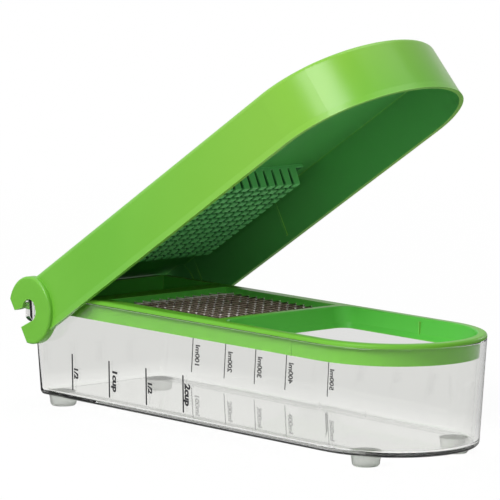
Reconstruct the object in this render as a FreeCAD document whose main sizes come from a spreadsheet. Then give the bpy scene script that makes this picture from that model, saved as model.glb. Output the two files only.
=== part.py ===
import FreeCAD, Part
import math
import os
import re
import Sketcher

# Press chopper: a clear container on four soft feet, a tray with a crossed blade grid
# resting on the container's rim, and a hinged lid whose pin pad pushes food through the grid.
# The base is drawn with X = 0 on the hinge axis and Z = 0 on the table, the lid with the
# hinge axis as its origin and closed; placements then bring both to the open rest pose.

doc = FreeCAD.newDocument("press_chopper")
vector = FreeCAD.Vector

# Driving sizes, in millimetres and degrees
sizes = {
    # container
    "rim_length": 270.4,
    "rim_width": 87.4,
    "container_height": 51,
    "wall": 2.2,
    "floor_thick": 2.2,
    "draft": 3.85,
    "rear_corner": 7.5,
    "rim_round": 0.8,
    "bottom_round": 2.5,
    "inner_round": 1.5,
    # plan of the rounded front: how much tighter the nose and wider the shoulders are than a half circle
    "nose_flat": 1.7,
    "shoulder_ease": 13.6,
    # feet
    "foot_height": 5.5,
    "foot_radius": 7.1,
    "foot_taper": 0.7,
    "foot_round": 0.8,
    "foot_inset": 12.6,
    "foot_lead": 10.1,
    "socket_depth": 0.8,
    "foot_fit": 0.1,
    # hinge
    "hinge_setback": 8.2,
    "hinge_drop": 7.7,
    "trunnion_radius": 5.5,
    "trunnion_flat": 4.1,
    "trunnion_root": 2,
    "trunnion_recess": 1,
    "hinge_fit": 0.08,
    "open_angle": 30.5,
    # lid ears
    "ear_radius": 16.9,
    "ear_chord_top": 12.1,
    "ear_chord_low": 10.7,
    "ear_thick": 4.6,
    "ear_gap": 0.7,
    "ear_round": 1.2,
    "web_round": 6,
    "web_root": 3,
    "mouth_top_root": 2.3,
    "mouth_top_end": 6.7,
    "mouth_low_root": 5.5,
    "mouth_low_end": 3.8,
    # tray
    "flange": 2,
    "flange_round": 1.5,
    "tray_gap": 0.8,
    "skirt_wall": 1.8,
    "skirt_depth": 8.4,
    "deck_thick": 2.6,
    "deck_rear": 39,
    "rib_wall": 2,
    "well_floor": 1.8,
    "divider": 4,
    "opening_corner": 8,
    "opening_round": 0.8,
    "bead_height": 2.8,
    "bead_proud": 1.2,
    "key_place": 193,
    "key_width": 0.9,
    "key_proud": 0.9,
    # blade grid
    "grid_centre": 91.9,
    "cell_count": 14,
    "cell_length": 6.04,
    "cell_width": 5.26,
    "blade_thick": 0.5,
    "blade_height": 6,
    "blade_drop": 2.4,
    "blade_edge": 0.8,
    "blade_seat": 1.5,
    "lap_fit": 0.06,
    "slot_fit": 0.05,
    # lid shell
    "lid_gap": 1.4,
    "lid_wall": 1.8,
    "lid_rise": 14.2,
    "lid_drop": 14.5,
    "lid_lean": 0.6,
    "lid_lead": 1.5,
    "lid_flare": 6.3,
    "lip_height": 3.2,
    "lip_lead": 1,
    "lip_side": 0.5,
    "lid_tail": 8,
    "lid_corner": 3,
    "lid_round": 2.5,
    "cavity_tail": 30,
    "ceiling": 10.3,
    "hinge_ceiling": 12.3,
    "hinge_room": 14,
    "dish_depth": 1.9,
    "dish_border": 6,
    "dish_rear": 18,
    "dish_corner": 5,
    "guide_width": 1.2,
    "guide_proud": 0.6,
    "guide_root": 0.9,
    "guide_rear": 22,
    "guide_front": 95,
    # pusher pins
    "pusher_base": 1.5,
    "pusher_margin": 0.9,
    "pin_length": 8.8,
    "pin_root_length": 4.35,
    "pin_root_width": 4,
    "pin_draw": 0.4,
}

# Sizes that follow from the driving ones
derived = {
    "half_width": "rim_width / 2",
    "rim_front": "rim_length - hinge_setback",
    "rim_z": "foot_height + container_height",
    "hinge_z": "rim_z - hinge_drop",
    "flange_top": "rim_z + flange",
    "nose_x": "rim_front - half_width + nose_flat",
    "foot_orbit": "half_width - nose_flat - foot_inset",
    "skirt_inset": "wall + tray_gap",
    "opening_inset": "skirt_inset + skirt_wall",
    "bead_depth": "flange + skirt_depth - bead_height",
    "bead_inset": "bead_depth * tan(draft * 1 deg)",
    "grid_half_length": "cell_count * cell_length / 2",
    "grid_half_width": "cell_count * cell_width / 2",
    "grid_rear": "grid_centre - grid_half_length",
    "grid_front": "grid_centre + grid_half_length",
    "long_reach": "grid_half_length + blade_seat",
    "cross_reach": "grid_half_width + blade_seat",
    "blade_top": "flange_top - blade_drop",
    "blade_low": "blade_top - blade_height",
    "blade_lap": "blade_top - blade_height / 2",
    "ear_inner": "half_width + ear_gap",
    "ear_outer": "ear_inner + ear_thick",
    "ear_clear": "ear_outer + ear_thick",
    "web_x": "sqrt((ear_radius + web_round) ^ 2 - (lid_drop + web_round) ^ 2)",
    "lid_half": "half_width + lid_gap + lid_wall",
    "lid_front": "rim_front + lid_lead",
    "flare_slope": "lid_flare / (lid_rise + lid_drop - lip_height)",
    "pin_root": "ceiling - pusher_base",
    "pin_taper": "atan(pin_draw / pin_length) / 1 deg",
    "tail_reach": "ear_chord_top * cos(open_angle * 1 deg)"
                  " + sqrt(ear_radius ^ 2 - ear_chord_top ^ 2) * sin(open_angle * 1 deg)",
    "centre_x": "(rim_front - tail_reach) / 2",
}

sheet = doc.addObject("Spreadsheet::Sheet", "Sizes")
for line, (alias, content) in enumerate(
    [(alias, str(value)) for alias, value in sizes.items()]
    + [(alias, "=" + formula) for alias, formula in derived.items()],
    start=1,
):
    sheet.set(f"A{line}", alias)
    sheet.set(f"B{line}", content)
    sheet.setAlias(f"B{line}", alias)
doc.recompute()


def sized(text):
    """An expression in the sheet's aliases, as other objects write it."""
    return re.sub(r"[a-z_]+", lambda word: "Sizes." + word[0]
                  if word[0] in sizes or word[0] in derived else word[0], text)


def number(text):
    """The present value of such an expression."""
    return float(sheet.evalExpression(sized(text)))


# Sketches

def new_sketch(body, name, plane, **offset):
    """An empty sketch on one of the body's origin planes, moved by x, y, z in the sketch's own axes."""
    sketch = body.newObject("Sketcher::SketchObject", name)
    support = next(item for item in body.Origin.OriginFeatures if item.Role == plane)
    sketch.AttachmentSupport = (support, [""])
    sketch.MapMode = "FlatFace"
    for axis, value in offset.items():
        sketch.setExpression(f"AttachmentOffset.Base.{axis}", sized(value))
    return sketch


def dimension(sketch, value, kind, *ends):
    """A driving dimension bound to the sheet."""
    index = sketch.addConstraint(Sketcher.Constraint(kind, *ends, number(value)))
    sketch.setExpression(f"Constraints[{index}]", sized(value))


def place_point(sketch, geometry, end, x, y):
    """Ties a point of the sketch to the coordinates x, y."""
    for kind, axis, value in (("DistanceX", -2, x), ("DistanceY", -1, y)):
        if abs(number(value)) < 1e-9:
            sketch.addConstraint(Sketcher.Constraint("PointOnObject", geometry, end, axis))
        elif number(value) > 0:
            dimension(sketch, value, kind, -1, 1, geometry, end)
        else:
            dimension(sketch, f"-({value})", kind, geometry, end, -1, 1)


def arc(x, y, radius, start, end):
    return Part.ArcOfCircle(Part.Circle(vector(x, y, 0), vector(0, 0, 1), radius), start, end)


def join_ends(sketch, count, kind="Coincident"):
    """Joins each edge's end to the next edge's start, all round."""
    sketch.addConstraint(
        [Sketcher.Constraint(kind, i, 2, (i + 1) % count, 1) for i in range(count)])


def polygon(body, name, plane, corners, **offset):
    """A closed straight-sided sketch through corners given as pairs of expressions."""
    sketch = new_sketch(body, name, plane, **offset)
    points = [vector(number(x), number(y), 0) for x, y in corners]
    sketch.addGeometry(
        [Part.LineSegment(a, b) for a, b in zip(points, points[1:] + points[:1])], False)
    join_ends(sketch, len(points))
    for index, (x, y) in enumerate(corners):
        place_point(sketch, index, 1, x, y)
    return sketch


def outline(body, name, height, half, front, rear, corner):
    """The object's plan: straight sides, a rounded front of three arcs and a flat rear.

    The nose and the shoulders keep their centres when half and front change by the same
    amount, so two outlines that differ by a wall are a true offset of each other.
    """
    sketch = new_sketch(body, name, "XY_Plane", z=height)
    w, f, r, c = number(half), number(front), number(rear), number(corner)
    ease = number("shoulder_ease")
    nose = w - number("nose_flat")
    shoulder = w + ease
    nose_x = f - nose
    reach = math.sqrt((shoulder - nose) ** 2 - ease ** 2)
    side_end = nose_x - reach
    turn = math.atan2(-ease, reach)
    sketch.addGeometry([
        Part.LineSegment(vector(r + c, -w, 0), vector(side_end, -w, 0)),
        arc(side_end, ease, shoulder, -math.pi / 2, turn),
        arc(nose_x, 0, nose, turn, -turn),
        arc(side_end, -ease, shoulder, -turn, math.pi / 2),
        Part.LineSegment(vector(side_end, w, 0), vector(r + c, w, 0)),
        arc(r + c, w - c, c, math.pi / 2, math.pi),
        Part.LineSegment(vector(r, w - c, 0), vector(r, c - w, 0)),
        arc(r + c, c - w, c, math.pi, 1.5 * math.pi),
    ], False)
    join_ends(sketch, 8, "Tangent")
    sketch.addConstraint([
        Sketcher.Constraint("Horizontal", 0),
        Sketcher.Constraint("Horizontal", 4),
        Sketcher.Constraint("Vertical", 6),
        Sketcher.Constraint("PointOnObject", 2, 3, -1),
        Sketcher.Constraint("Equal", 1, 3),
        Sketcher.Constraint("Equal", 5, 7),
    ])
    dimension(sketch, f"{half} + shoulder_ease", "Radius", 1)
    dimension(sketch, f"{half} - nose_flat", "Radius", 2)
    dimension(sketch, corner, "Radius", 5)
    dimension(sketch, f"{front} - ({half}) + nose_flat", "DistanceX", -1, 1, 2, 3)
    dimension(sketch, half, "DistanceY", 0, 1, -1, 1)
    dimension(sketch, half, "DistanceY", -1, 1, 4, 1)
    if r < 0:
        dimension(sketch, f"-({rear})", "DistanceX", 6, 1, -1, 1)
    else:
        dimension(sketch, rear, "DistanceX", -1, 1, 6, 1)
    return sketch


def base_outline(body, name, height, inset):
    """The container's plan at its rim, drawn in by inset all round."""
    return outline(body, name, height, f"half_width - ({inset})", f"rim_front - ({inset})",
                   f"({inset}) - hinge_setback", f"rear_corner - ({inset})")


# Features

def keep(body, feature):
    """Makes the feature the body's result, once it has really been built."""
    body.Tip = feature
    doc.recompute()
    if feature.Shape.isNull() or not feature.Shape.isValid():
        raise RuntimeError(f"{body.Label}: {feature.Name} gives no valid solid")
    return feature


def pad(body, name, sketch, length, taper=None, downwards=False):
    feature = body.newObject("PartDesign::Pad", name)
    feature.Profile = sketch
    feature.setExpression("Length", sized(length))
    feature.Reversed = downwards
    if taper:
        feature.setExpression("TaperAngle", sized(taper))
    return keep(body, feature)


def pocket(body, name, sketch, length, taper=None):
    """A cut that has to take material away."""
    before = body.Shape.Volume
    feature = body.newObject("PartDesign::Pocket", name)
    feature.Profile = sketch
    feature.setExpression("Length", sized(length))
    if taper:
        feature.setExpression("TaperAngle", sized(taper))
    keep(body, feature)
    if feature.Shape.Volume >= before:
        raise RuntimeError(f"{body.Label}: {name} cuts nothing")
    return feature


def loft(body, name, kind, upper, lower):
    """A straight-sided solid or cut from the upper outline down to the lower one."""
    feature = body.newObject(f"PartDesign::{kind}Loft", name)
    feature.Profile = upper
    feature.Sections = [lower]
    feature.Ruled = True
    return keep(body, feature)


def block(body, name, kind, x, y, z):
    """A box between pairs of expressions along the three axes."""
    feature = body.newObject(f"PartDesign::{kind}Box", name)
    for size, axis, (low, high) in (("Length", "x", x), ("Width", "y", y), ("Height", "z", z)):
        feature.setExpression(size, sized(f"({high}) - ({low})"))
        feature.setExpression(f"Placement.Base.{axis}", sized(low))
    return keep(body, feature)


def row(body, name, features, count, **pitches):
    """Repeats features along one origin axis, or over a field along two, at a pitch for each."""
    feature = body.newObject("PartDesign::LinearPattern", name)
    feature.Originals = features
    for suffix, (axis, pitch) in zip(("", "2"), pitches.items()):
        line = next(item for item in body.Origin.OriginFeatures if item.Role == axis)
        setattr(feature, "Direction" + suffix, (line, [""]))
        setattr(feature, "Mode" + suffix, "Spacing")
        feature.setExpression("Offset" + suffix, sized(pitch))
        feature.setExpression("Occurrences" + suffix, sized(count))
    return keep(body, feature)


def mirror(body, name, features):
    """Repeats features on the other side of the middle plane."""
    feature = body.newObject("PartDesign::Mirrored", name)
    feature.Originals = features
    middle = next(item for item in body.Origin.OriginFeatures if item.Role == "XZ_Plane")
    feature.MirrorPlane = (middle, [""])
    return keep(body, feature)


def round_edges(body, name, radius, chosen):
    """Rounds the edges of the present solid whose bounding box is chosen."""
    base = body.Tip
    edges = [f"Edge{index}" for index, edge in enumerate(base.Shape.Edges, start=1)
             if chosen(edge.BoundBox)]
    feature = body.newObject("PartDesign::Fillet", name)
    feature.Base = (base, edges)
    feature.setExpression("Radius", sized(radius))
    return keep(body, feature)


def level(height):
    """Chooses edges that lie flat at a height."""
    z = number(height)
    return lambda box: box.ZMax - box.ZMin < 1e-4 and abs(box.ZMax - z) < 1e-4


# Bodies

pieces = []


def new_piece(label):
    body = doc.addObject("PartDesign::Body", label)
    body.Label = label
    pieces.append(body)
    return body


def stand_on_base(body, x="0", y="0", z="0"):
    """Places a piece of the base, drawn about the hinge axis, in the object's frame."""
    for axis, value in (("x", f"{x} - centre_x"), ("y", y), ("z", z)):
        body.setExpression(f"Placement.Base.{axis}", sized(value))


def hang_on_hinge(body):
    """Places a piece of the lid, drawn closed about the hinge axis, at its open rest angle."""
    body.Placement = FreeCAD.Placement(
        vector(0, 0, 0), FreeCAD.Rotation(vector(0, -1, 0), number("open_angle")))
    body.setExpression("Placement.Base.x", sized("-centre_x"))
    body.setExpression("Placement.Base.z", sized("hinge_z"))
    body.setExpression("Placement.Rotation.Angle", sized("open_angle"))


foot_places = {
    "rear_right": ("foot_inset - hinge_setback", "-1", "half_width - foot_inset"),
    "rear_left": ("foot_inset - hinge_setback", "1", "half_width - foot_inset"),
    "front_right": ("nose_x + foot_lead", "-1", "sqrt(foot_orbit ^ 2 - foot_lead ^ 2)"),
    "front_left": ("nose_x + foot_lead", "1", "sqrt(foot_orbit ^ 2 - foot_lead ^ 2)"),
}


def make_container():
    """Clear drafted tub with a pivot peg outside each rear corner and sockets for the feet."""
    body = new_piece("container")
    pad(body, "Tub", base_outline(body, "RimPlan", "rim_z", "0"), "container_height",
        taper="-draft", downwards=True)
    round_edges(body, "TubBottomRound", "bottom_round", level("foot_height"))
    round_edges(body, "RimRound", "rim_round", level("rim_z"))
    pocket(body, "Inside", base_outline(body, "InsidePlan", "rim_z", "wall"),
           "container_height - floor_thick", taper="-draft")
    round_edges(body, "FloorRound", "inner_round", level("foot_height + floor_thick"))
    for name, (x, side, y) in foot_places.items():
        socket = body.newObject("PartDesign::SubtractiveCylinder", "Socket_" + name)
        socket.setExpression("Radius", sized("foot_radius - foot_taper + foot_fit"))
        socket.setExpression("Height", sized("socket_depth"))
        socket.setExpression("Placement.Base.x", sized(x))
        socket.setExpression("Placement.Base.y", sized(f"{side} * ({y})"))
        socket.setExpression("Placement.Base.z", sized("foot_height"))
        keep(body, socket)
    peg = new_sketch(body, "PegSection", "XZ_Plane", y="hinge_z", z="half_width - trunnion_root")
    radius, flat = number("trunnion_radius"), number("trunnion_flat")
    lean = math.acos(flat / radius)
    rise = radius * math.sin(lean)
    peg.addGeometry([
        arc(0, 0, radius, lean, math.pi - lean),
        Part.LineSegment(vector(-flat, rise, 0), vector(-flat, -rise, 0)),
        arc(0, 0, radius, math.pi + lean, 2 * math.pi - lean),
        Part.LineSegment(vector(flat, -rise, 0), vector(flat, rise, 0)),
    ], False)
    join_ends(peg, 4)
    peg.addConstraint([
        Sketcher.Constraint("Coincident", 0, 3, -1, 1),
        Sketcher.Constraint("Coincident", 2, 3, -1, 1),
        Sketcher.Constraint("Vertical", 1),
        Sketcher.Constraint("Vertical", 3),
    ])
    dimension(peg, "trunnion_radius", "Radius", 0)
    dimension(peg, "trunnion_flat", "DistanceX", 1, 1, -1, 1)
    dimension(peg, "trunnion_flat", "DistanceX", -1, 1, 3, 1)
    right = pad(body, "RightPeg", peg, "ear_outer - trunnion_recess - half_width + trunnion_root")
    mirror(body, "LeftPeg", [right])
    stand_on_base(body)


def make_foot(name, place):
    """Soft tapered foot whose plug sits in a socket under the container."""
    x, side, y = place
    body = new_piece("foot_" + name)
    profile = polygon(body, "FootProfile", "XZ_Plane", [
        ("0", "0"),
        ("foot_radius - foot_taper - foot_round", "0"),
        ("foot_radius - foot_taper", "foot_round"),
        ("foot_radius", "foot_height"),
        ("foot_radius - foot_taper", "foot_height"),
        ("foot_radius - foot_taper", "foot_height + socket_depth"),
        ("0", "foot_height + socket_depth"),
    ])
    foot = body.newObject("PartDesign::Revolution", "Foot")
    foot.Profile = profile
    foot.ReferenceAxis = (profile, ["V_Axis"])
    foot.Angle = 360
    keep(body, foot)
    stand_on_base(body, x, f"{side} * ({y})")


def opening_outline(body, name, height, inset):
    """The tray's front opening, drawn in by inset all round."""
    return outline(body, name, height, f"half_width - opening_inset - ({inset})",
                   f"rim_front - opening_inset - ({inset})", f"grid_front + divider + ({inset})",
                   f"opening_corner - ({inset})")


def make_tray():
    """Tray lying on the rim: flange, skirt inside the walls, rear well, blade window, front opening."""
    body = new_piece("tray")
    pad(body, "Flange", base_outline(body, "FlangePlan", "rim_z", "0"), "flange")
    round_edges(body, "FlangeRound", "flange_round", level("flange_top"))
    pad(body, "Skirt", base_outline(body, "SkirtPlan", "rim_z", "skirt_inset"), "skirt_depth",
        taper="-draft", downwards=True)
    bead_z = "flange_top - bead_depth"
    loft(body, "FrontOpening", "Subtractive", opening_outline(body, "OpeningPlan", "flange_top", "0"),
         opening_outline(body, "BeadTopPlan", bead_z, "bead_inset"))
    x_low, x_high = number("grid_front + divider"), number("rim_front - opening_inset")
    y_high, top = number("half_width - opening_inset"), level("flange_top")
    round_edges(body, "OpeningRound", "opening_round", lambda box: top(box) and box.XMin > x_low - 1e-4
                and box.XMax < x_high + 1e-4 and box.YMax < y_high + 1e-4 and box.YMin > -y_high - 1e-4)
    loft(body, "Bead", "Subtractive", opening_outline(body, "BeadPlan", bead_z, "bead_inset"),
         opening_outline(body, "BeadLowPlan", "rim_z - skirt_depth", "bead_inset + bead_proud"))
    inner = ("opening_inset - half_width", "half_width - opening_inset")
    block(body, "RearWell", "Subtractive", ("opening_inset - hinge_setback", "deck_rear - rib_wall"),
          inner, ("rim_z - skirt_depth + well_floor", "flange_top"))
    block(body, "DeckHollow", "Subtractive", ("deck_rear", "grid_rear - blade_seat - rib_wall"),
          inner, ("rim_z - skirt_depth", "flange_top - deck_thick"))
    block(body, "BladeWindow", "Subtractive", ("grid_rear", "grid_front"),
          ("-grid_half_width", "grid_half_width"), ("rim_z - skirt_depth", "flange_top"))
    key = block(body, "RightKey", "Additive", ("key_place - key_width / 2", "key_place + key_width / 2"),
                ("skirt_inset - half_width", "opening_inset + key_proud - half_width"),
                ("rim_z - skirt_depth", "rim_z"))
    mirror(body, "LeftKey", [key])
    heights = ("blade_low - slot_fit", "blade_top + slot_fit")
    half_slot = "(blade_thick / 2 + slot_fit)"
    slot_y, slot_x = "cell_width - grid_half_width", "grid_rear + cell_length"
    long_slot = block(body, "LongSlot", "Subtractive",
                      ("grid_centre - long_reach - slot_fit", "grid_centre + long_reach + slot_fit"),
                      (f"{slot_y} - {half_slot}", f"{slot_y} + {half_slot}"), heights)
    row(body, "LongSlots", [long_slot], "cell_count - 1", Y_Axis="cell_width")
    cross_slot = block(body, "CrossSlot", "Subtractive",
                       (f"{slot_x} - {half_slot}", f"{slot_x} + {half_slot}"),
                       ("-cross_reach - slot_fit", "cross_reach + slot_fit"), heights)
    row(body, "CrossSlots", [cross_slot], "cell_count - 1", X_Axis="cell_length")
    stand_on_base(body)


def blade_section(body, plane, reach):
    """Strip section with a ground upper edge."""
    half, shoulder = "blade_thick / 2", "blade_top - blade_edge"
    return polygon(body, "Section", plane, [
        (f"-{half}", "blade_low"), (half, "blade_low"), (half, shoulder),
        ("0", "blade_top"), (f"-{half}", shoulder),
    ], z=f"-{reach}")


def make_long_blade(index):
    """Blade along X, notched from below to straddle the cross blades."""
    body = new_piece(f"long_blade_{index:02d}")
    pad(body, "Strip", blade_section(body, "YZ_Plane", "long_reach"), "2 * long_reach")
    half, first = "(blade_thick / 2 + lap_fit)", "cell_length - grid_half_length"
    notch = block(body, "Notch", "Subtractive", (f"{first} - {half}", f"{first} + {half}"),
                  ("-blade_thick", "blade_thick"), ("blade_low", "blade_lap + lap_fit"))
    row(body, "Notches", [notch], "cell_count - 1", X_Axis="cell_length")
    stand_on_base(body, "grid_centre", f"{index} * cell_width - grid_half_width")


def make_cross_blade(index):
    """Blade along Y, notched from above to sit in the long blades."""
    body = new_piece(f"cross_blade_{index:02d}")
    pad(body, "Strip", blade_section(body, "XZ_Plane", "cross_reach"), "2 * cross_reach")
    half, first = "(blade_thick / 2 + lap_fit)", "cell_width - grid_half_width"
    notch = block(body, "Notch", "Subtractive", ("-blade_thick", "blade_thick"),
                  (f"{first} - {half}", f"{first} + {half}"), ("blade_lap - lap_fit", "blade_top"))
    row(body, "Notches", [notch], "cell_count - 1", Y_Axis="cell_width")
    stand_on_base(body, f"grid_rear + {index} * cell_length")


def lid_outline(body, name, height, half, front, rear="-lid_tail", corner="lid_corner"):
    return outline(body, name, height, half, front, rear, corner)


def ear_web(body):
    """Concave corner between the right ear and the lid's lower edge."""
    sketch = new_sketch(body, "WebPlan", "XZ_Plane", z="ear_inner")
    radius, drop, ear = number("web_round"), number("lid_drop"), number("ear_radius")
    x, z = number("web_x"), -drop - radius
    touch = math.atan2(-z, -x)
    share = ear / (ear + radius)
    inside = vector(x, number("web_root") - drop, 0)
    sketch.addGeometry([
        arc(x, z, radius, math.pi / 2, touch),
        Part.LineSegment(vector(x * share, z * share, 0), inside),
        Part.LineSegment(inside, vector(x, -drop, 0)),
    ], False)
    join_ends(sketch, 3)
    place_point(sketch, 0, 3, "web_x", "-lid_drop - web_round")
    place_point(sketch, 1, 2, "web_x", "web_root - lid_drop")
    sketch.addConstraint(Sketcher.Constraint("Vertical", 2))
    dimension(sketch, "web_round", "Radius", 0)
    dimension(sketch, "web_x * ear_radius / (ear_radius + web_round)", "DistanceX", -1, 1, 0, 2)
    return pad(body, "RightWeb", sketch, "lid_half - lid_lean - ear_inner")


def make_lid():
    """Hollow cap with a flared front lip and an open-mouthed ear at each rear corner."""
    body = new_piece("lid")
    lip_z = "lip_height - lid_drop"
    loft(body, "Shell", "Additive",
         lid_outline(body, "TopPlan", "lid_rise", "lid_half - lid_lean", "lid_front"),
         lid_outline(body, "LowPlan", lip_z, "lid_half", "lid_front + lid_flare"))
    round_edges(body, "TopRound", "lid_round", level("lid_rise"))
    loft(body, "Lip", "Additive",
         lid_outline(body, "LipTopPlan", lip_z, "lid_half", "lid_front + lid_flare"),
         lid_outline(body, "LipLowPlan", "-lid_drop", "lid_half + lip_side",
                     "lid_front + lid_flare + lip_lead"))
    inner = "lid_half - lid_lean - lid_wall"
    loft(body, "Cavity", "Subtractive",
         lid_outline(body, "CeilingPlan", "ceiling", inner,
                     "lid_front + flare_slope * (lid_rise - ceiling) - lid_wall", "-cavity_tail"),
         lid_outline(body, "CavityMouthPlan", "-lid_drop", "lid_half - lid_wall",
                     "lid_front + flare_slope * (lid_rise + lid_drop) - lid_wall", "-cavity_tail"))
    block(body, "HingeRoom", "Subtractive", ("-cavity_tail", "hinge_room"), (f"-({inner})", inner),
          ("0", "hinge_ceiling"))
    pocket(body, "TopDish", lid_outline(body, "DishPlan", "lid_rise", "lid_half - lid_lean - dish_border",
                                        "lid_front - dish_border", "dish_rear", "dish_corner"), "dish_depth")
    side = [
        block(body, name, "Additive", (f"{place} - guide_width / 2", f"{place} + guide_width / 2"),
              ("guide_root - lid_half", "lid_wall + guide_proud - lid_half"), (lip_z, "ceiling"))
        for name, place in (("RearGuide", "guide_rear"), ("FrontGuide", "guide_front"))
    ]
    disc = new_sketch(body, "EarPlan", "XZ_Plane", z="ear_inner")
    radius, high, low = number("ear_radius"), number("ear_chord_top"), number("ear_chord_low")
    start, end = math.acos(-low / radius), math.acos(-high / radius)
    disc.addGeometry([
        arc(0, 0, radius, -start, end),
        Part.LineSegment(vector(-high, radius * math.sin(end), 0),
                         vector(-low, -radius * math.sin(start), 0)),
    ], False)
    join_ends(disc, 2)
    disc.addConstraint(Sketcher.Constraint("Coincident", 0, 3, -1, 1))
    dimension(disc, "ear_radius", "Radius", 0)
    dimension(disc, "ear_chord_top", "DistanceX", 1, 1, -1, 1)
    dimension(disc, "ear_chord_low", "DistanceX", 1, 2, -1, 1)
    side.append(pad(body, "RightEar", disc, "ear_thick"))
    side.append(ear_web(body))
    mirror(body, "LeftSide", side)
    outer = number("ear_outer")
    round_edges(body, "EarRound", "ear_round",
                lambda box: box.YMax - box.YMin < 1e-4 and abs(abs(box.YMax) - outer) < 1e-4)
    bore = body.newObject("PartDesign::SubtractiveCylinder", "PegBore")
    bore.Placement.Rotation = FreeCAD.Rotation(vector(1, 0, 0), 90)
    bore.setExpression("Radius", sized("trunnion_radius + hinge_fit"))
    bore.setExpression("Height", sized("2 * ear_clear"))
    bore.setExpression("Placement.Base.y", sized("ear_clear"))
    keep(body, bore)
    mouth = polygon(body, "MouthPlan", "XZ_Plane", [
        ("0", "mouth_top_root"), ("-ear_radius", "mouth_top_end"),
        ("-ear_radius", "-mouth_low_end"), ("0", "-mouth_low_root"),
    ], z="ear_clear")
    pocket(body, "Mouth", mouth, "2 * ear_clear")
    hang_on_hinge(body)


def make_pusher():
    """Pad of tapered pins under the lid's ceiling, one for each cell of the grid."""
    body = new_piece("pusher_pad")
    half_x, half_y = "grid_half_length - pusher_margin", "grid_half_width - pusher_margin"
    block(body, "Plate", "Additive", (f"grid_centre - ({half_x})", f"grid_centre + {half_x}"),
          (f"-({half_y})", half_y), ("pin_root", "ceiling"))
    x, y = "grid_rear + cell_length / 2", "cell_width / 2 - grid_half_width"
    near, far = f"{y} - pin_root_width / 2", f"{y} + pin_root_width / 2"
    back, front = f"{x} - pin_root_length / 2", f"{x} + pin_root_length / 2"
    section = polygon(body, "PinSection", "XY_Plane",
                      [(back, near), (front, near), (front, far), (back, far)], z="pin_root")
    pin = pad(body, "Pin", section, "pin_length", taper="-pin_taper", downwards=True)
    row(body, "Pins", [pin], "cell_count", X_Axis="cell_length", Y_Axis="cell_width")
    hang_on_hinge(body)


make_container()
for foot_name, foot_place in foot_places.items():
    make_foot(foot_name, foot_place)
make_tray()
for blade in range(1, int(number("cell_count"))):
    make_long_blade(blade)
    make_cross_blade(blade)
make_lid()
make_pusher()
doc.recompute()

failed = [item.Name for item in doc.Objects if {"Invalid", "Error"} & set(item.State)]
failed += [body.Label for body in pieces if body.Shape.isNull() or not body.Shape.isValid()
           or len(body.Shape.Solids) != 1]
if failed:
    raise RuntimeError("not built: " + ", ".join(failed))

os.makedirs("parts", exist_ok=True)
for body in pieces:
    body.Shape.exportStep(f"parts/{body.Label}.step")
print(len(pieces), "pieces written")
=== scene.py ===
import bpy
import math
from mathutils import Matrix, Vector


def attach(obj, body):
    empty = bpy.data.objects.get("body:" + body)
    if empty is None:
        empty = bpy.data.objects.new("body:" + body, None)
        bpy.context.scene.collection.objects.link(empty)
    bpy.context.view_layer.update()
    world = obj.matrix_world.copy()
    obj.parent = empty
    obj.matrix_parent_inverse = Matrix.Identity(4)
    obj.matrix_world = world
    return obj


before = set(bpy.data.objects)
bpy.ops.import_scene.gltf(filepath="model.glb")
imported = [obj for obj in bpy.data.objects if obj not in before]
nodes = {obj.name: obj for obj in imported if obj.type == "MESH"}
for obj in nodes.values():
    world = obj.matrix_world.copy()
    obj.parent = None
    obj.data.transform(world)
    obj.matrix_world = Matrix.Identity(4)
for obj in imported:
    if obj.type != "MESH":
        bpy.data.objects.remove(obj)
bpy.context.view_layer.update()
scene = bpy.context.scene
print("frame loaded:", len(nodes), "nodes")

# camera at the photograph's viewing angle, metres and degrees
cameraView = {
    "lookAt": (-0.00598, -0.0031, 0.0868),
    "azimuth": 50.45,
    "elevation": 7.26,
    "distance": 2.05,
    "lens": 306.6, "sensor": 36,    # millimetres
    "farClip": 20,
}


def cameraSide(view):
    around, above = math.radians(view["azimuth"]), math.radians(view["elevation"])
    level = math.cos(above)
    return Vector((math.sin(around) * level, -math.cos(around) * level, math.sin(above)))


def makeCamera(view):
    data = bpy.data.cameras.new("camera")
    data.lens = view["lens"]
    data.sensor_width = view["sensor"]
    data.clip_end = view["farClip"]
    camera = bpy.data.objects.new("camera", data)
    scene.collection.objects.link(camera)
    camera.location = Vector(view["lookAt"]) + cameraSide(view) * view["distance"]
    camera.rotation_euler = cameraSide(view).to_track_quat("Z", "Y").to_euler()
    scene.camera = camera


makeCamera(cameraView)


# node helpers; a value is either a number or colour, or the output of another node
def feed(tree, socket, value):
    if isinstance(value, bpy.types.NodeSocket):
        tree.links.new(value, socket)
    else:
        socket.default_value = value


def addNode(tree, kind, values=None, mode=None):
    node = tree.nodes.new(kind)
    if mode:
        node.operation = mode
    for socket, value in (values or {}).items():
        feed(tree, node.inputs[socket], value)
    return node


def calculate(tree, mode, first, second=0):
    return addNode(tree, "ShaderNodeMath", {0: first, 1: second}, mode).outputs[0]


def dotProduct(tree, first, second):
    return addNode(tree, "ShaderNodeVectorMath", {0: first, 1: second}, "DOT_PRODUCT").outputs["Value"]


def ramp(tree, value, low, high, start=0.0, end=1.0):
    limits = {"From Min": low, "From Max": high, "To Min": start, "To Max": end}
    return addNode(tree, "ShaderNodeMapRange", {"Value": value, **limits}).outputs["Result"]


def blendColours(tree, share, first, second):
    node = tree.nodes.new("ShaderNodeMix")
    node.data_type = "RGBA"
    feed(tree, node.inputs["Factor"], share)
    for socket, value in ((node.inputs[6], first), (node.inputs[7], second)):    # its two colour sockets
        feed(tree, socket, (*value, 1) if isinstance(value, tuple) else value)
    return node.outputs[2]


def objectPlace(tree):
    return tree.nodes.new("ShaderNodeTexCoord").outputs["Object"]


def objectAxes(tree):
    return addNode(tree, "ShaderNodeSeparateXYZ", {0: objectPlace(tree)}).outputs


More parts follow.
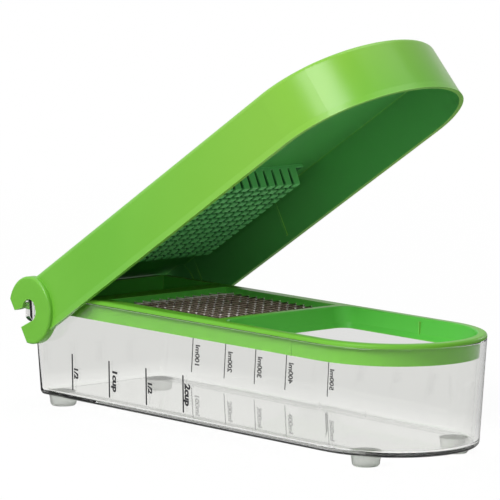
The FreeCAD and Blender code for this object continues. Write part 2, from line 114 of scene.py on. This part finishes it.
# studio: white sweep behind, a dimmer room on the camera's side, four soft boxes
studio = {
    "floorSize": 6.0,
    "floorColour": (0.62, 0.62, 0.62),
    "floorSeen": (0.97, 0.97, 0.97),
    "floorGlow": (0.93, 1.0), "glowFade": (0.25, 0.8),    # share of plain white on the floor, near and far
    "floorThrough": 1.0,    # what clear plastic sees of the floor under the object
    "floorMirror": 0.22,    # what gloss sees of the floor
    "skyLight": (0.52, 0.14), "skyTurn": (-0.4, 0.9),    # from the camera's left and right
    "sweepShade": 0.77,    # what clear plastic and gloss see of the paper sweep behind
    "roomThrough": 0.80,    # what clear plastic sees of the room behind the camera
    "roomMirror": 0.10,    # what gloss sees of that room
    "sweepTurn": (-0.35, 0.3),    # where the room turns into the sweep
    "outline": (0.140, 0.045), "fade": (0.01, 0.07),    # paper fades from white to the sweep's shade, metres
    "noGlow": 0.01,    # rays that see less than this get plain paper
    "lampAim": (0, 0, 0.08),
    "lamps": {
        "keyLight": {"place": (-0.1, -1.7, 1.4), "size": 1.1, "watts": 28.5},
        "topLight": {"place": (0.0, 0.3, 2.0), "size": 1.4, "watts": 12},
        "noseLight": {"place": (1.4, -1.0, 0.6), "size": 0.8, "watts": 3.0},
        "rimLight": {"place": (-0.25, 1.7, 0.55), "size": 0.3, "watts": 2.8},
    },
}


def makeWorld(spec):
    world = bpy.data.worlds.new("studioWorld")
    scene.world = world
    world.use_nodes = True
    tree = world.node_tree
    background = tree.nodes["Background"]
    background.inputs["Color"].default_value = (1, 1, 1, 1)
    direction = tree.nodes.new("ShaderNodeTexCoord").outputs["Generated"]
    behind = dotProduct(tree, direction, -cameraSide(cameraView))
    toRight = dotProduct(tree, direction, Vector((0, 0, 1)).cross(cameraSide(cameraView)))
    ray = tree.nodes.new("ShaderNodeLightPath").outputs
    through, mirror = (
        calculate(tree, "MULTIPLY", ray[kind], ramp(tree, behind, *spec["sweepTurn"], spec[room], spec["sweepShade"]))
        for kind, room in (("Is Transmission Ray", "roomThrough"), ("Is Glossy Ray", "roomMirror"))
    )
    sky = ramp(tree, toRight, *spec["skyTurn"], *spec["skyLight"])
    plain = calculate(tree, "MULTIPLY", ray["Is Diffuse Ray"], sky)
    seen = calculate(tree, "MAXIMUM", ray["Is Camera Ray"], calculate(tree, "MAXIMUM", through, mirror))
    tree.links.new(calculate(tree, "MAXIMUM", seen, plain), background.inputs["Strength"])


def makeFloor(spec):
    half = spec["floorSize"] / 2
    mesh = bpy.data.meshes.new("floor")
    mesh.from_pydata([(-half, -half, 0), (half, -half, 0), (half, half, 0), (-half, half, 0)], [], [(0, 1, 2, 3)])
    floor = bpy.data.objects.new("floor", mesh)
    scene.collection.objects.link(floor)
    material = bpy.data.materials.new("floorPaper")
    material.use_nodes = True
    tree = material.node_tree
    tree.nodes.remove(tree.nodes["Principled BSDF"])
    ray = tree.nodes.new("ShaderNodeLightPath").outputs
    shade = blendColours(tree, ray["Is Camera Ray"], spec["floorColour"], spec["floorSeen"])
    paper = addNode(tree, "ShaderNodeBsdfDiffuse", {"Color": shade})
    place = objectAxes(tree)
    outside = [calculate(tree, "SUBTRACT", calculate(tree, "ABSOLUTE", place[axis]), reach)
               for axis, reach in zip("XY", spec["outline"])]
    distance = calculate(tree, "MAXIMUM", *outside)
    through = calculate(tree, "MULTIPLY", ray["Is Transmission Ray"],
                        ramp(tree, distance, *spec["fade"], spec["floorThrough"], spec["sweepShade"]))
    mirror = calculate(tree, "MULTIPLY", ray["Is Glossy Ray"], spec["floorMirror"])
    seen = calculate(tree, "MAXIMUM", ray["Is Camera Ray"], calculate(tree, "MAXIMUM", through, mirror))
    glow = addNode(tree, "ShaderNodeEmission", {"Color": (1, 1, 1, 1), "Strength": seen})
    white = ramp(tree, distance, *spec["glowFade"], *spec["floorGlow"])
    share = calculate(tree, "MULTIPLY", calculate(tree, "GREATER_THAN", seen, spec["noGlow"]), white)
    mix = addNode(tree, "ShaderNodeMixShader", {0: share, 1: paper.outputs[0], 2: glow.outputs[0]})
    tree.links.new(mix.outputs[0], tree.nodes["Material Output"].inputs["Surface"])
    mesh.materials.append(material)


def makeLamps(spec):
    for name, lamp in spec["lamps"].items():
        data = bpy.data.lights.new(name, "AREA")
        data.size = lamp["size"]
        data.energy = lamp["watts"]
        light = bpy.data.objects.new(name, data)
        light.location = lamp["place"]
        away = Vector(lamp["place"]) - Vector(spec["lampAim"])
        light.rotation_euler = away.to_track_quat("Z", "Y").to_euler()
        scene.collection.objects.link(light)


makeWorld(studio)
makeFloor(studio)
makeLamps(studio)
scene.view_settings.view_transform = "Standard"
print("camera and studio ready")

# effects that several finishes share; a spread is the part of a noise that is stretched to 0 and 1
skinNoise = {"Grain": {"detail": 2, "spread": (0.2, 0.8)}, "Cloud": {"detail": 4, "spread": (0.32, 0.68)}}
edgeTest = {"samples": 6, "turn": (1.0, 0.86), "detail": 3, "spread": (0.3, 0.6)}
streakNoise = {"detail": 3, "spread": (0.3, 0.7)}
hollowTest = {"facing": (0.001, -0.002), "sideways": (0.5, 0.7), "limit": (-0.0002, 0.0002)}


def newGroup(name, inputs, outputs):
    group = bpy.data.node_groups.new(name, "ShaderNodeTree")
    for label, value in inputs.items():
        kind = "NodeSocketVector" if isinstance(value, tuple) else "NodeSocketFloat"
        socket = group.interface.new_socket(label, in_out="INPUT", socket_type=kind)
        socket.default_value = value
    for label in outputs:
        group.interface.new_socket(label, in_out="OUTPUT", socket_type="NodeSocketFloat")
    return group, group.nodes.new("NodeGroupInput").outputs, group.nodes.new("NodeGroupOutput").inputs


def addNoise(group, place, scale, spec):
    values = {"Vector": place, "Scale": scale, "Detail": spec["detail"]}
    noise = addNode(group, "ShaderNodeTexNoise", values)
    return ramp(group, noise.outputs["Fac"], *spec["spread"])


def makeMouldedSkin():
    # fine moulded grain for bump, and broad clouds for colour and gloss
    group, given, made = newGroup("mouldedSkin", {"Grain": 2500.0, "Cloud": 22.0}, ("Grain", "Cloud"))
    place = objectPlace(group)
    for label, spec in skinNoise.items():
        group.links.new(addNoise(group, place, given[label], spec), made[label])
    return group


def makeEdgeWearAndSheen():
    # 1 on a rounded or sharp outer edge, broken up a little; it carries edge wear and a painted edge highlight
    group, given, made = newGroup("edgeWearAndSheen", {"Radius": 0.0012, "Breakup": 90.0}, ("Edge",))
    bevel = addNode(group, "ShaderNodeBevel", {"Radius": given["Radius"]})
    bevel.samples = edgeTest["samples"]
    flat = group.nodes.new("ShaderNodeNewGeometry")
    turn = dotProduct(group, bevel.outputs["Normal"], flat.outputs["Normal"])
    breakup = addNoise(group, objectPlace(group), given["Breakup"], edgeTest)
    edge = calculate(group, "MULTIPLY", ramp(group, turn, *edgeTest["turn"]), breakup)
    group.links.new(edge, made["Edge"])
    return group


def makeFineStreaks():
    # thin streaks along one direction
    group, given, made = newGroup("fineStreaks", {"Stretch": (30.0, 2500.0, 2500.0)}, ("Streak",))
    mapping = addNode(group, "ShaderNodeMapping", {"Vector": objectPlace(group), "Scale": given["Stretch"]})
    group.links.new(addNoise(group, mapping.outputs["Vector"], 1, streakNoise), made["Streak"])
    return group


def makeInnerFace():
    # 1 on faces that look towards the middle of a hollow, apart from the rims of the hooks beside it; it places
    # painted shade and painted green bounce light in a hollow
    group, given, made = newGroup("paintedHollowShade", {"Middle": (0.0, 0.0, 0.0), "Half Width": 0.04, "Hook Depth": 0.0},
                                  ("Inner",))
    coordinate = group.nodes.new("ShaderNodeTexCoord").outputs
    place = addNode(group, "ShaderNodeSeparateXYZ", {0: coordinate["Object"]}).outputs
    turned = addNode(group, "ShaderNodeSeparateXYZ", {0: coordinate["Normal"]}).outputs
    away = addNode(group, "ShaderNodeVectorMath", {0: coordinate["Object"], 1: given["Middle"]}, "SUBTRACT")
    side = dotProduct(group, away.outputs["Vector"], coordinate["Normal"])
    spare = calculate(group, "SUBTRACT", given["Half Width"], calculate(group, "ABSOLUTE", place["Y"]))
    sideways = ramp(group, calculate(group, "ABSOLUTE", turned["Y"]), *hollowTest["sideways"])
    wall = calculate(group, "MULTIPLY", sideways, ramp(group, spare, *hollowTest["limit"]))
    clearOfHooks = calculate(group, "SUBTRACT", spare, given["Hook Depth"])
    within = calculate(group, "MAXIMUM", wall, ramp(group, clearOfHooks, *hollowTest["limit"]))
    inner = calculate(group, "MULTIPLY", ramp(group, side, *hollowTest["facing"]), within)
    group.links.new(inner, made["Inner"])
    return group


mouldedSkin = makeMouldedSkin()
edgeWearAndSheen = makeEdgeWearAndSheen()
fineStreaks = makeFineStreaks()
paintedHollowShade = makeInnerFace()
print("shared effects ready")


def newMaterial(name):
    material = bpy.data.materials.new(name)
    material.use_nodes = True
    return material, material.node_tree, material.node_tree.nodes["Principled BSDF"]


def useGroup(tree, group, values):
    node = tree.nodes.new("ShaderNodeGroup")
    node.node_tree = group
    for label, value in values.items():
        node.inputs[label].default_value = value
    return node.outputs


def addBump(tree, shader, height, strength, depth):
    bump = addNode(tree, "ShaderNodeBump", {"Strength": strength, "Distance": depth, "Height": height})
    tree.links.new(bump.outputs["Normal"], shader.inputs["Normal"])


# moulded green of the lid and the tray, and the pins' darker green; a bump is its strength and depth
greenFinish = {
    "deep": (0.150, 0.470, 0.034), "fresh": (0.168, 0.510, 0.042),
    "edge": (0.28, 0.65, 0.11), "edgeShare": 0.6, "edgeRadius": 0.0011,
    "gloss": (0.32, 0.42), "shine": 0.25, "grain": 2600.0, "cloud": 16.0, "bump": (0.05, 0.0002),
}
lidFinish = {
    **greenFinish, "shine": 0.5, "gloss": (0.27, 0.37),
    # inside: painted shade, a darker bluer green on the faces within the lid
    "inside": (0.085, 0.390, 0.085), "middle": (-0.03, 0.0, 0.105), "halfWidth": 0.0453, "hookDepth": 0.0010,
    # painted warm light on the lid's front, yellower between these spans along its length
    "paintedWarmLight": (0.225, 0.525, 0.043), "warmLightFrom": (-0.06, 0.06), "warmLightTo": (0.09, 0.12),
}
trayFinish = {
    **greenFinish,
    # inside: painted green bounce light on the walls of the tray's opening
    "inside": (0.105, 0.560, 0.065), "middle": (0.065, 0.0, 0.052), "halfWidth": 0.0395, "hookDepth": 0.0,
}
pinFinish = {
    "deep": (0.113, 0.510, 0.150), "fresh": (0.168, 0.625, 0.182),
    "edge": (0.26, 0.70, 0.26), "edgeShare": 0.7, "edgeRadius": 0.0011,
    "gloss": (0.32, 0.44), "shine": 0.35, "grain": 2600.0, "cloud": 30.0, "bump": (0.05, 0.0002),
    # gap: painted shade deep between the pins, fading out on the front row's faces
    "gap": (0.010, 0.075, 0.025), "gapShadeShare": 0.85,
    "upwards": (-0.50754, 0.0, 0.86163), "tipToRoot": (0.1044, 0.1059),    # in the open lid's directions
    "forwards": (0.86163, 0.0, 0.50754), "frontFaces": (0.0510, 0.0515),
}


def makeGreen(name, finish):
    material, tree, shader = newMaterial(name)
    shader.inputs["Specular IOR Level"].default_value = finish["shine"]
    skin = useGroup(tree, mouldedSkin, {"Grain": finish["grain"], "Cloud": finish["cloud"]})
    worn = useGroup(tree, edgeWearAndSheen, {"Radius": finish["edgeRadius"]})
    body = blendColours(tree, skin["Cloud"], finish["deep"], finish["fresh"])
    if "paintedWarmLight" in finish:    # painted warm light: the lid turns yellower towards its front, and plain again on its nose
        along = objectAxes(tree)["X"]
        rise = ramp(tree, along, *finish["warmLightFrom"])
        warmLightShare = calculate(tree, "MULTIPLY", rise, ramp(tree, along, *finish["warmLightTo"], 1, 0))
        body = blendColours(tree, warmLightShare, body, finish["paintedWarmLight"])
    if "gap" in finish:    # painted shade: the gaps between the pins darken with depth, the front row's faces stay bright
        place = objectPlace(tree)
        depth = dotProduct(tree, place, finish["upwards"])
        ahead = dotProduct(tree, place, finish["forwards"])
        between = ramp(tree, ahead, *finish["frontFaces"], finish["gapShadeShare"], 0)
        sunk = calculate(tree, "MULTIPLY", between, ramp(tree, depth, *finish["tipToRoot"]))
        body = blendColours(tree, sunk, body, finish["gap"])
    # painted shade and bounce light on the faces within a hollow
    if "inside" in finish:
        hollow = useGroup(tree, paintedHollowShade, {"Middle": finish["middle"], "Half Width": finish["halfWidth"],
                                            "Hook Depth": finish["hookDepth"]})
        body = blendColours(tree, hollow["Inner"], body, finish["inside"])
    # lighter edges: wear and a painted highlight along rounded edges and pin tips
    edge = calculate(tree, "MULTIPLY", worn["Edge"], finish["edgeShare"])
    tree.links.new(blendColours(tree, edge, body, finish["edge"]), shader.inputs["Base Color"])
    tree.links.new(ramp(tree, skin["Cloud"], 0, 1, *finish["gloss"]), shader.inputs["Roughness"])
    addBump(tree, shader, skin["Grain"], *finish["bump"])
    return material


# clear moulded container; its underside is dull from use in a ring along the edge
clearFinish = {
    "colour": (0.974, 0.976, 0.960, 1), "lampTint": (0.93, 0.94, 0.92, 1), "ior": 1.5, "gloss": (0.0, 0.012),
    "ripple": 60.0, "cloud": 14.0, "bump": (0.01, 0.0003),
    "frost": 0.45, "frostHeight": (0.0060, 0.0064), "noseMiddle": 0.099, "frostRing": (0.026, 0.034),
}


def makeClear(finish):
    material, tree, shader = newMaterial("clearPlastic")
    shader.inputs["Base Color"].default_value = finish["colour"]
    shader.inputs["Transmission Weight"].default_value = 1
    shader.inputs["IOR"].default_value = finish["ior"]
    skin = useGroup(tree, mouldedSkin, {"Grain": finish["ripple"], "Cloud": finish["cloud"]})
    place = objectAxes(tree)
    ahead = calculate(tree, "MAXIMUM", calculate(tree, "SUBTRACT", place["X"], finish["noseMiddle"]))
    outwards = addNode(tree, "ShaderNodeCombineXYZ", {"X": ahead, "Y": place["Y"]})
    reach = addNode(tree, "ShaderNodeVectorMath", {0: outwards.outputs[0]}, "LENGTH")
    underside = ramp(tree, place["Z"], *finish["frostHeight"], finish["frost"], 0)
    frost = calculate(tree, "MULTIPLY", underside, ramp(tree, reach.outputs["Value"], *finish["frostRing"]))
    polish = ramp(tree, skin["Cloud"], 0, 1, *finish["gloss"])
    tree.links.new(calculate(tree, "MAXIMUM", frost, polish), shader.inputs["Roughness"])
    addBump(tree, shader, skin["Grain"], *finish["bump"])
    # lamps shine through to what is inside
    lampRay = tree.nodes.new("ShaderNodeLightPath").outputs["Is Shadow Ray"]
    through = addNode(tree, "ShaderNodeBsdfTransparent", {"Color": finish["lampTint"]})
    mix = addNode(tree, "ShaderNodeMixShader", {0: lampRay, 1: shader.outputs[0], 2: through.outputs[0]})
    tree.links.new(mix.outputs[0], tree.nodes["Material Output"].inputs["Surface"])
    return material


# ground blade strip: dark rolled sides, a bright ground edge, and painted glints where two strips cross and at the
# rear end of the grid
steelFinish = {
    "dark": (0.095, 0.073, 0.056), "bright": (0.28, 0.225, 0.172), "gloss": (0.20, 0.36),
    "lengthwise": 40.0, "acrossGrain": 2600.0, "nicks": 1400.0, "bump": (0.5, 0.0003),
    "edge": (0.78, 0.68, 0.56), "edgeHeight": (0.0558, 0.0560),
    # spark colours: painted glints at the crossings and along the rear end of the grid
    "paintedGlint": (1.0, 0.95, 0.92), "sparkHeight": (0.0553, 0.0556), "sparkReach": (0.0004, 0.0010),
    "sparkDull": 0.9, "sparkSpread": 160.0, "sparkPatches": (0.1, 0.6), "rearGlint": (0.0008, 0.0016, 0.55, 0.0),
}
bladeGrid = {"rear": -0.067233, "middle": {"X": -0.030993, "Y": 0.0}, "pitch": {"X": 0.00604, "Y": 0.00526}}


def makeSteel(name, axis, grid, finish):
    material, tree, shader = newMaterial(name)
    stretch = [finish["lengthwise"] if letter == axis else finish["acrossGrain"] for letter in "XYZ"]
    streak = useGroup(tree, fineStreaks, {"Stretch": stretch})["Streak"]
    nicks = useGroup(tree, mouldedSkin, {"Grain": finish["nicks"]})["Grain"]
    patches = useGroup(tree, mouldedSkin, {"Cloud": finish["sparkSpread"]})["Cloud"]
    place = objectAxes(tree)
    ground = ramp(tree, place["Z"], *finish["edgeHeight"])
    body = blendColours(tree, streak, finish["dark"], finish["bright"])
    tint = blendColours(tree, ground, body, finish["edge"])
    fromMiddle = calculate(tree, "SUBTRACT", place[axis], grid["middle"][axis])
    fromCrossing = calculate(tree, "PINGPONG", fromMiddle, grid["pitch"][axis] / 2)
    crossing = calculate(tree, "MULTIPLY", ramp(tree, fromCrossing, *finish["sparkReach"], 1, 0),
                         ramp(tree, patches, *finish["sparkPatches"]))
    # rearGlint: a painted glint along the rear end of the grid
    fromRear = calculate(tree, "SUBTRACT", place["X"], grid["rear"])
    glint = calculate(tree, "MAXIMUM", crossing, ramp(tree, fromRear, *finish["rearGlint"]))
    paintedGlint = calculate(tree, "MULTIPLY", glint, ramp(tree, place["Z"], *finish["sparkHeight"]))
    tree.links.new(blendColours(tree, paintedGlint, tint, finish["paintedGlint"]), shader.inputs["Base Color"])
    # painted glints drop most of their metal so they stay white
    tree.links.new(ramp(tree, paintedGlint, 0, 1, 1, 1 - finish["sparkDull"]), shader.inputs["Metallic"])
    tree.links.new(ramp(tree, streak, 0, 1, *finish["gloss"]), shader.inputs["Roughness"])
    addBump(tree, shader, calculate(tree, "MULTIPLY", nicks, ground), *finish["bump"])
    return material


# soft translucent feet
footFinish = {
    "pale": (0.82, 0.84, 0.80), "grey": (0.71, 0.74, 0.70), "gloss": (0.30, 0.45), "through": 0.8,
    "grain": 1800.0, "cloud": 120.0, "bump": (0.1, 0.0002),
}


def makeFoot(finish):
    material, tree, shader = newMaterial("footRubber")
    skin = useGroup(tree, mouldedSkin, {"Grain": finish["grain"], "Cloud": finish["cloud"]})
    tree.links.new(blendColours(tree, skin["Cloud"], finish["grey"], finish["pale"]), shader.inputs["Base Color"])
    tree.links.new(ramp(tree, skin["Cloud"], 0, 1, *finish["gloss"]), shader.inputs["Roughness"])
    shader.inputs["Transmission Weight"].default_value = finish["through"]
    addBump(tree, shader, skin["Grain"], *finish["bump"])
    return material


# printed ink of the measure marks
inkFinish = {
    "dark": (0.012, 0.012, 0.014), "worn": (0.045, 0.045, 0.048), "gloss": (0.42, 0.6),
    "grain": 3000.0, "cloud": 900.0,
}


def makeInk(finish):
    material, tree, shader = newMaterial("scaleInk")
    skin = useGroup(tree, mouldedSkin, {"Grain": finish["grain"], "Cloud": finish["cloud"]})
    tree.links.new(blendColours(tree, skin["Cloud"], finish["dark"], finish["worn"]), shader.inputs["Base Color"])
    tree.links.new(ramp(tree, skin["Grain"], 0, 1, *finish["gloss"]), shader.inputs["Roughness"])
    return material


# the first word of a node's name says which finish it gets
finishFor = {
    "lid": makeGreen("lidPlastic", lidFinish),
    "tray": makeGreen("trayPlastic", trayFinish),
    "pusher": makeGreen("pinPlastic", pinFinish),
    "container": makeClear(clearFinish),
    "long": makeSteel("longBladeSteel", "X", bladeGrid, steelFinish),
    "cross": makeSteel("crossBladeSteel", "Y", bladeGrid, steelFinish),
    "foot": makeFoot(footFinish),
}
ink = makeInk(inkFinish)
for name, thing in nodes.items():
    thing.data.materials.clear()
    thing.data.materials.append(finishFor[name.split("_")[0]])
print("finishes on")

# measure marks printed on the container's side walls, metres and degrees; they read with the nose up
containerWall = {"rimHeight": 0.0565, "rimHalfWidth": 0.0437, "draft": 3.85}
cupScale = {
    "side": -1, "middle": 0.0201, "lineLength": 0.0184, "lineWidth": 0.0010, "tilt": -3.8, "bold": 0.050,
    "places": (-0.0975, -0.0678, -0.0386, -0.0100),
    "labels": ("1/2", "1cup", "1/2", "2cup"),
    "labelLengths": (0.0054, 0.0106, 0.0054, 0.0110),
    "textHeights": (0.0031, 0.0037, 0.0031, 0.0041),
    "gaps": (0.0015, 0.0028, 0.0015, 0.0014),
}
millilitreScale = {
    "side": 1, "middle": 0.02025, "lineLength": 0.0175, "lineWidth": 0.0007, "tilt": 0.0, "bold": 0.038,
    "places": (-0.1029, -0.0768, -0.0531, -0.0293, -0.0009),
    "labels": ("100ml", "200ml", "300ml", "400ml", "500ml"),
    "labelLengths": (0.0104,) * 5,
    "textHeights": (0.0034,) * 5,
    "gaps": (0.0025, 0.0025, 0.0020, 0.0022, 0.0016),
}
lettering = {"letterHeight": 0.73, "smoothness": 4}    # of the plain font at size 1
inkFilm = {"depth": 0.00006, "sunk": 0.00001}


def wallPlane(wall, scale):
    # columns: reading direction, up of the letters, outwards, place
    lean, side = math.radians(wall["draft"]), scale["side"]
    outwards = Vector((0, side * math.cos(lean), -math.sin(lean)))
    letterUp = Vector((1, 0, 0))
    reading = letterUp.cross(outwards)
    halfWidth = wall["rimHalfWidth"] - (wall["rimHeight"] - scale["middle"]) * math.tan(lean)
    place = Vector((0, side * halfWidth, scale["middle"])) - outwards * inkFilm["sunk"]
    return Matrix((*zip(reading, letterUp, outwards, place), (0, 0, 0, 1)))


def makeLineTree():
    # one ink bar on each point given
    tree = bpy.data.node_groups.new("scaleLines", "GeometryNodeTree")
    sockets = {}
    for label, kind in (("Geometry", "Geometry"), ("Length", "Float"), ("Width", "Float"), ("Depth", "Float"),
                        ("Tilt", "Float"), ("Ink", "Material")):
        socket = tree.interface.new_socket(label, in_out="INPUT", socket_type="NodeSocket" + kind)
        sockets[label] = socket.identifier
    tree.interface.new_socket("Geometry", in_out="OUTPUT", socket_type="NodeSocketGeometry")
    given = tree.nodes.new("NodeGroupInput").outputs
    made = tree.nodes.new("NodeGroupOutput").inputs
    size = addNode(tree, "ShaderNodeCombineXYZ", {"X": given["Length"], "Y": given["Width"], "Z": given["Depth"]})
    turn = addNode(tree, "ShaderNodeCombineXYZ", {"Z": given["Tilt"]})
    bar = addNode(tree, "GeometryNodeMeshCube", {"Size": size.outputs[0]})
    spread = addNode(tree, "GeometryNodeInstanceOnPoints", {
        "Points": given["Geometry"], "Instance": bar.outputs["Mesh"], "Rotation": turn.outputs[0]})
    real = addNode(tree, "GeometryNodeRealizeInstances", {"Geometry": spread.outputs["Instances"]})
    coat = addNode(tree, "GeometryNodeSetMaterial", {"Geometry": real.outputs["Geometry"], "Material": given["Ink"]})
    tree.links.new(coat.outputs["Geometry"], made["Geometry"])
    return tree, sockets


lineTree, lineSockets = makeLineTree()


def plainMesh(thing):
    bpy.context.view_layer.update()
    graph = bpy.context.evaluated_depsgraph_get()
    return bpy.data.meshes.new_from_object(thing.evaluated_get(graph), depsgraph=graph)


def makeLines(name, scale):
    points = bpy.data.meshes.new(name + "Points")
    points.from_pydata([(0, place, inkFilm["depth"] / 2) for place in scale["places"]], [], [])
    piece = bpy.data.objects.new(name, points)
    scene.collection.objects.link(piece)
    lines = piece.modifiers.new("lines", "NODES")
    lines.node_group = lineTree
    values = {"Length": scale["lineLength"], "Width": scale["lineWidth"], "Depth": inkFilm["depth"],
              "Tilt": math.radians(scale["tilt"]), "Ink": ink}
    for label, value in values.items():
        lines[lineSockets[label]] = value
    mesh = plainMesh(piece)
    piece.modifiers.remove(lines)
    piece.data = mesh
    mesh.transform(wallPlane(containerWall, scale))
    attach(piece, "base")


def flatLetters(label, bold):
    letters = bpy.data.curves.new(label, "FONT")
    letters.body = label
    letters.align_x = "CENTER"
    letters.offset = bold
    letters.resolution_u = lettering["smoothness"]
    shape = bpy.data.objects.new(label, letters)
    scene.collection.objects.link(shape)
    flat = plainMesh(shape)
    bpy.data.objects.remove(shape)
    return flat


def makeLabels(name, scale):
    corners, faces = [], []
    turn = Matrix.Rotation(math.radians(scale["tilt"]), 3, "Z")
    for label, place, length, height, gap in zip(scale["labels"], scale["places"], scale["labelLengths"],
                                                 scale["textHeights"], scale["gaps"]):
        flat = flatLetters(label, scale["bold"])
        across = [v.co.x for v in flat.vertices]
        size = Vector((length / (max(across) - min(across)), height / lettering["letterHeight"], 0))
        start = len(corners)
        for v in flat.vertices:
            corners.append(Vector((0, place, 0)) + turn @ (v.co * size + Vector((0, gap, 0))))
        faces += [[start + i for i in face.vertices] for face in flat.polygons]
    mesh = bpy.data.meshes.new(name)
    mesh.from_pydata(corners, [], faces)
    mesh.materials.append(ink)
    piece = bpy.data.objects.new(name, mesh)
    scene.collection.objects.link(piece)
    film = piece.modifiers.new("film", "SOLIDIFY")
    film.thickness = inkFilm["depth"]
    film.offset = 1
    thick = plainMesh(piece)
    piece.modifiers.remove(film)
    piece.data = thick
    thick.transform(wallPlane(containerWall, scale))
    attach(piece, "base")


for name, scale in (("cup", cupScale), ("millilitre", millilitreScale)):
    makeLines(name + "Lines", scale)
    makeLabels(name + "Labels", scale)
print("measure marks printed")
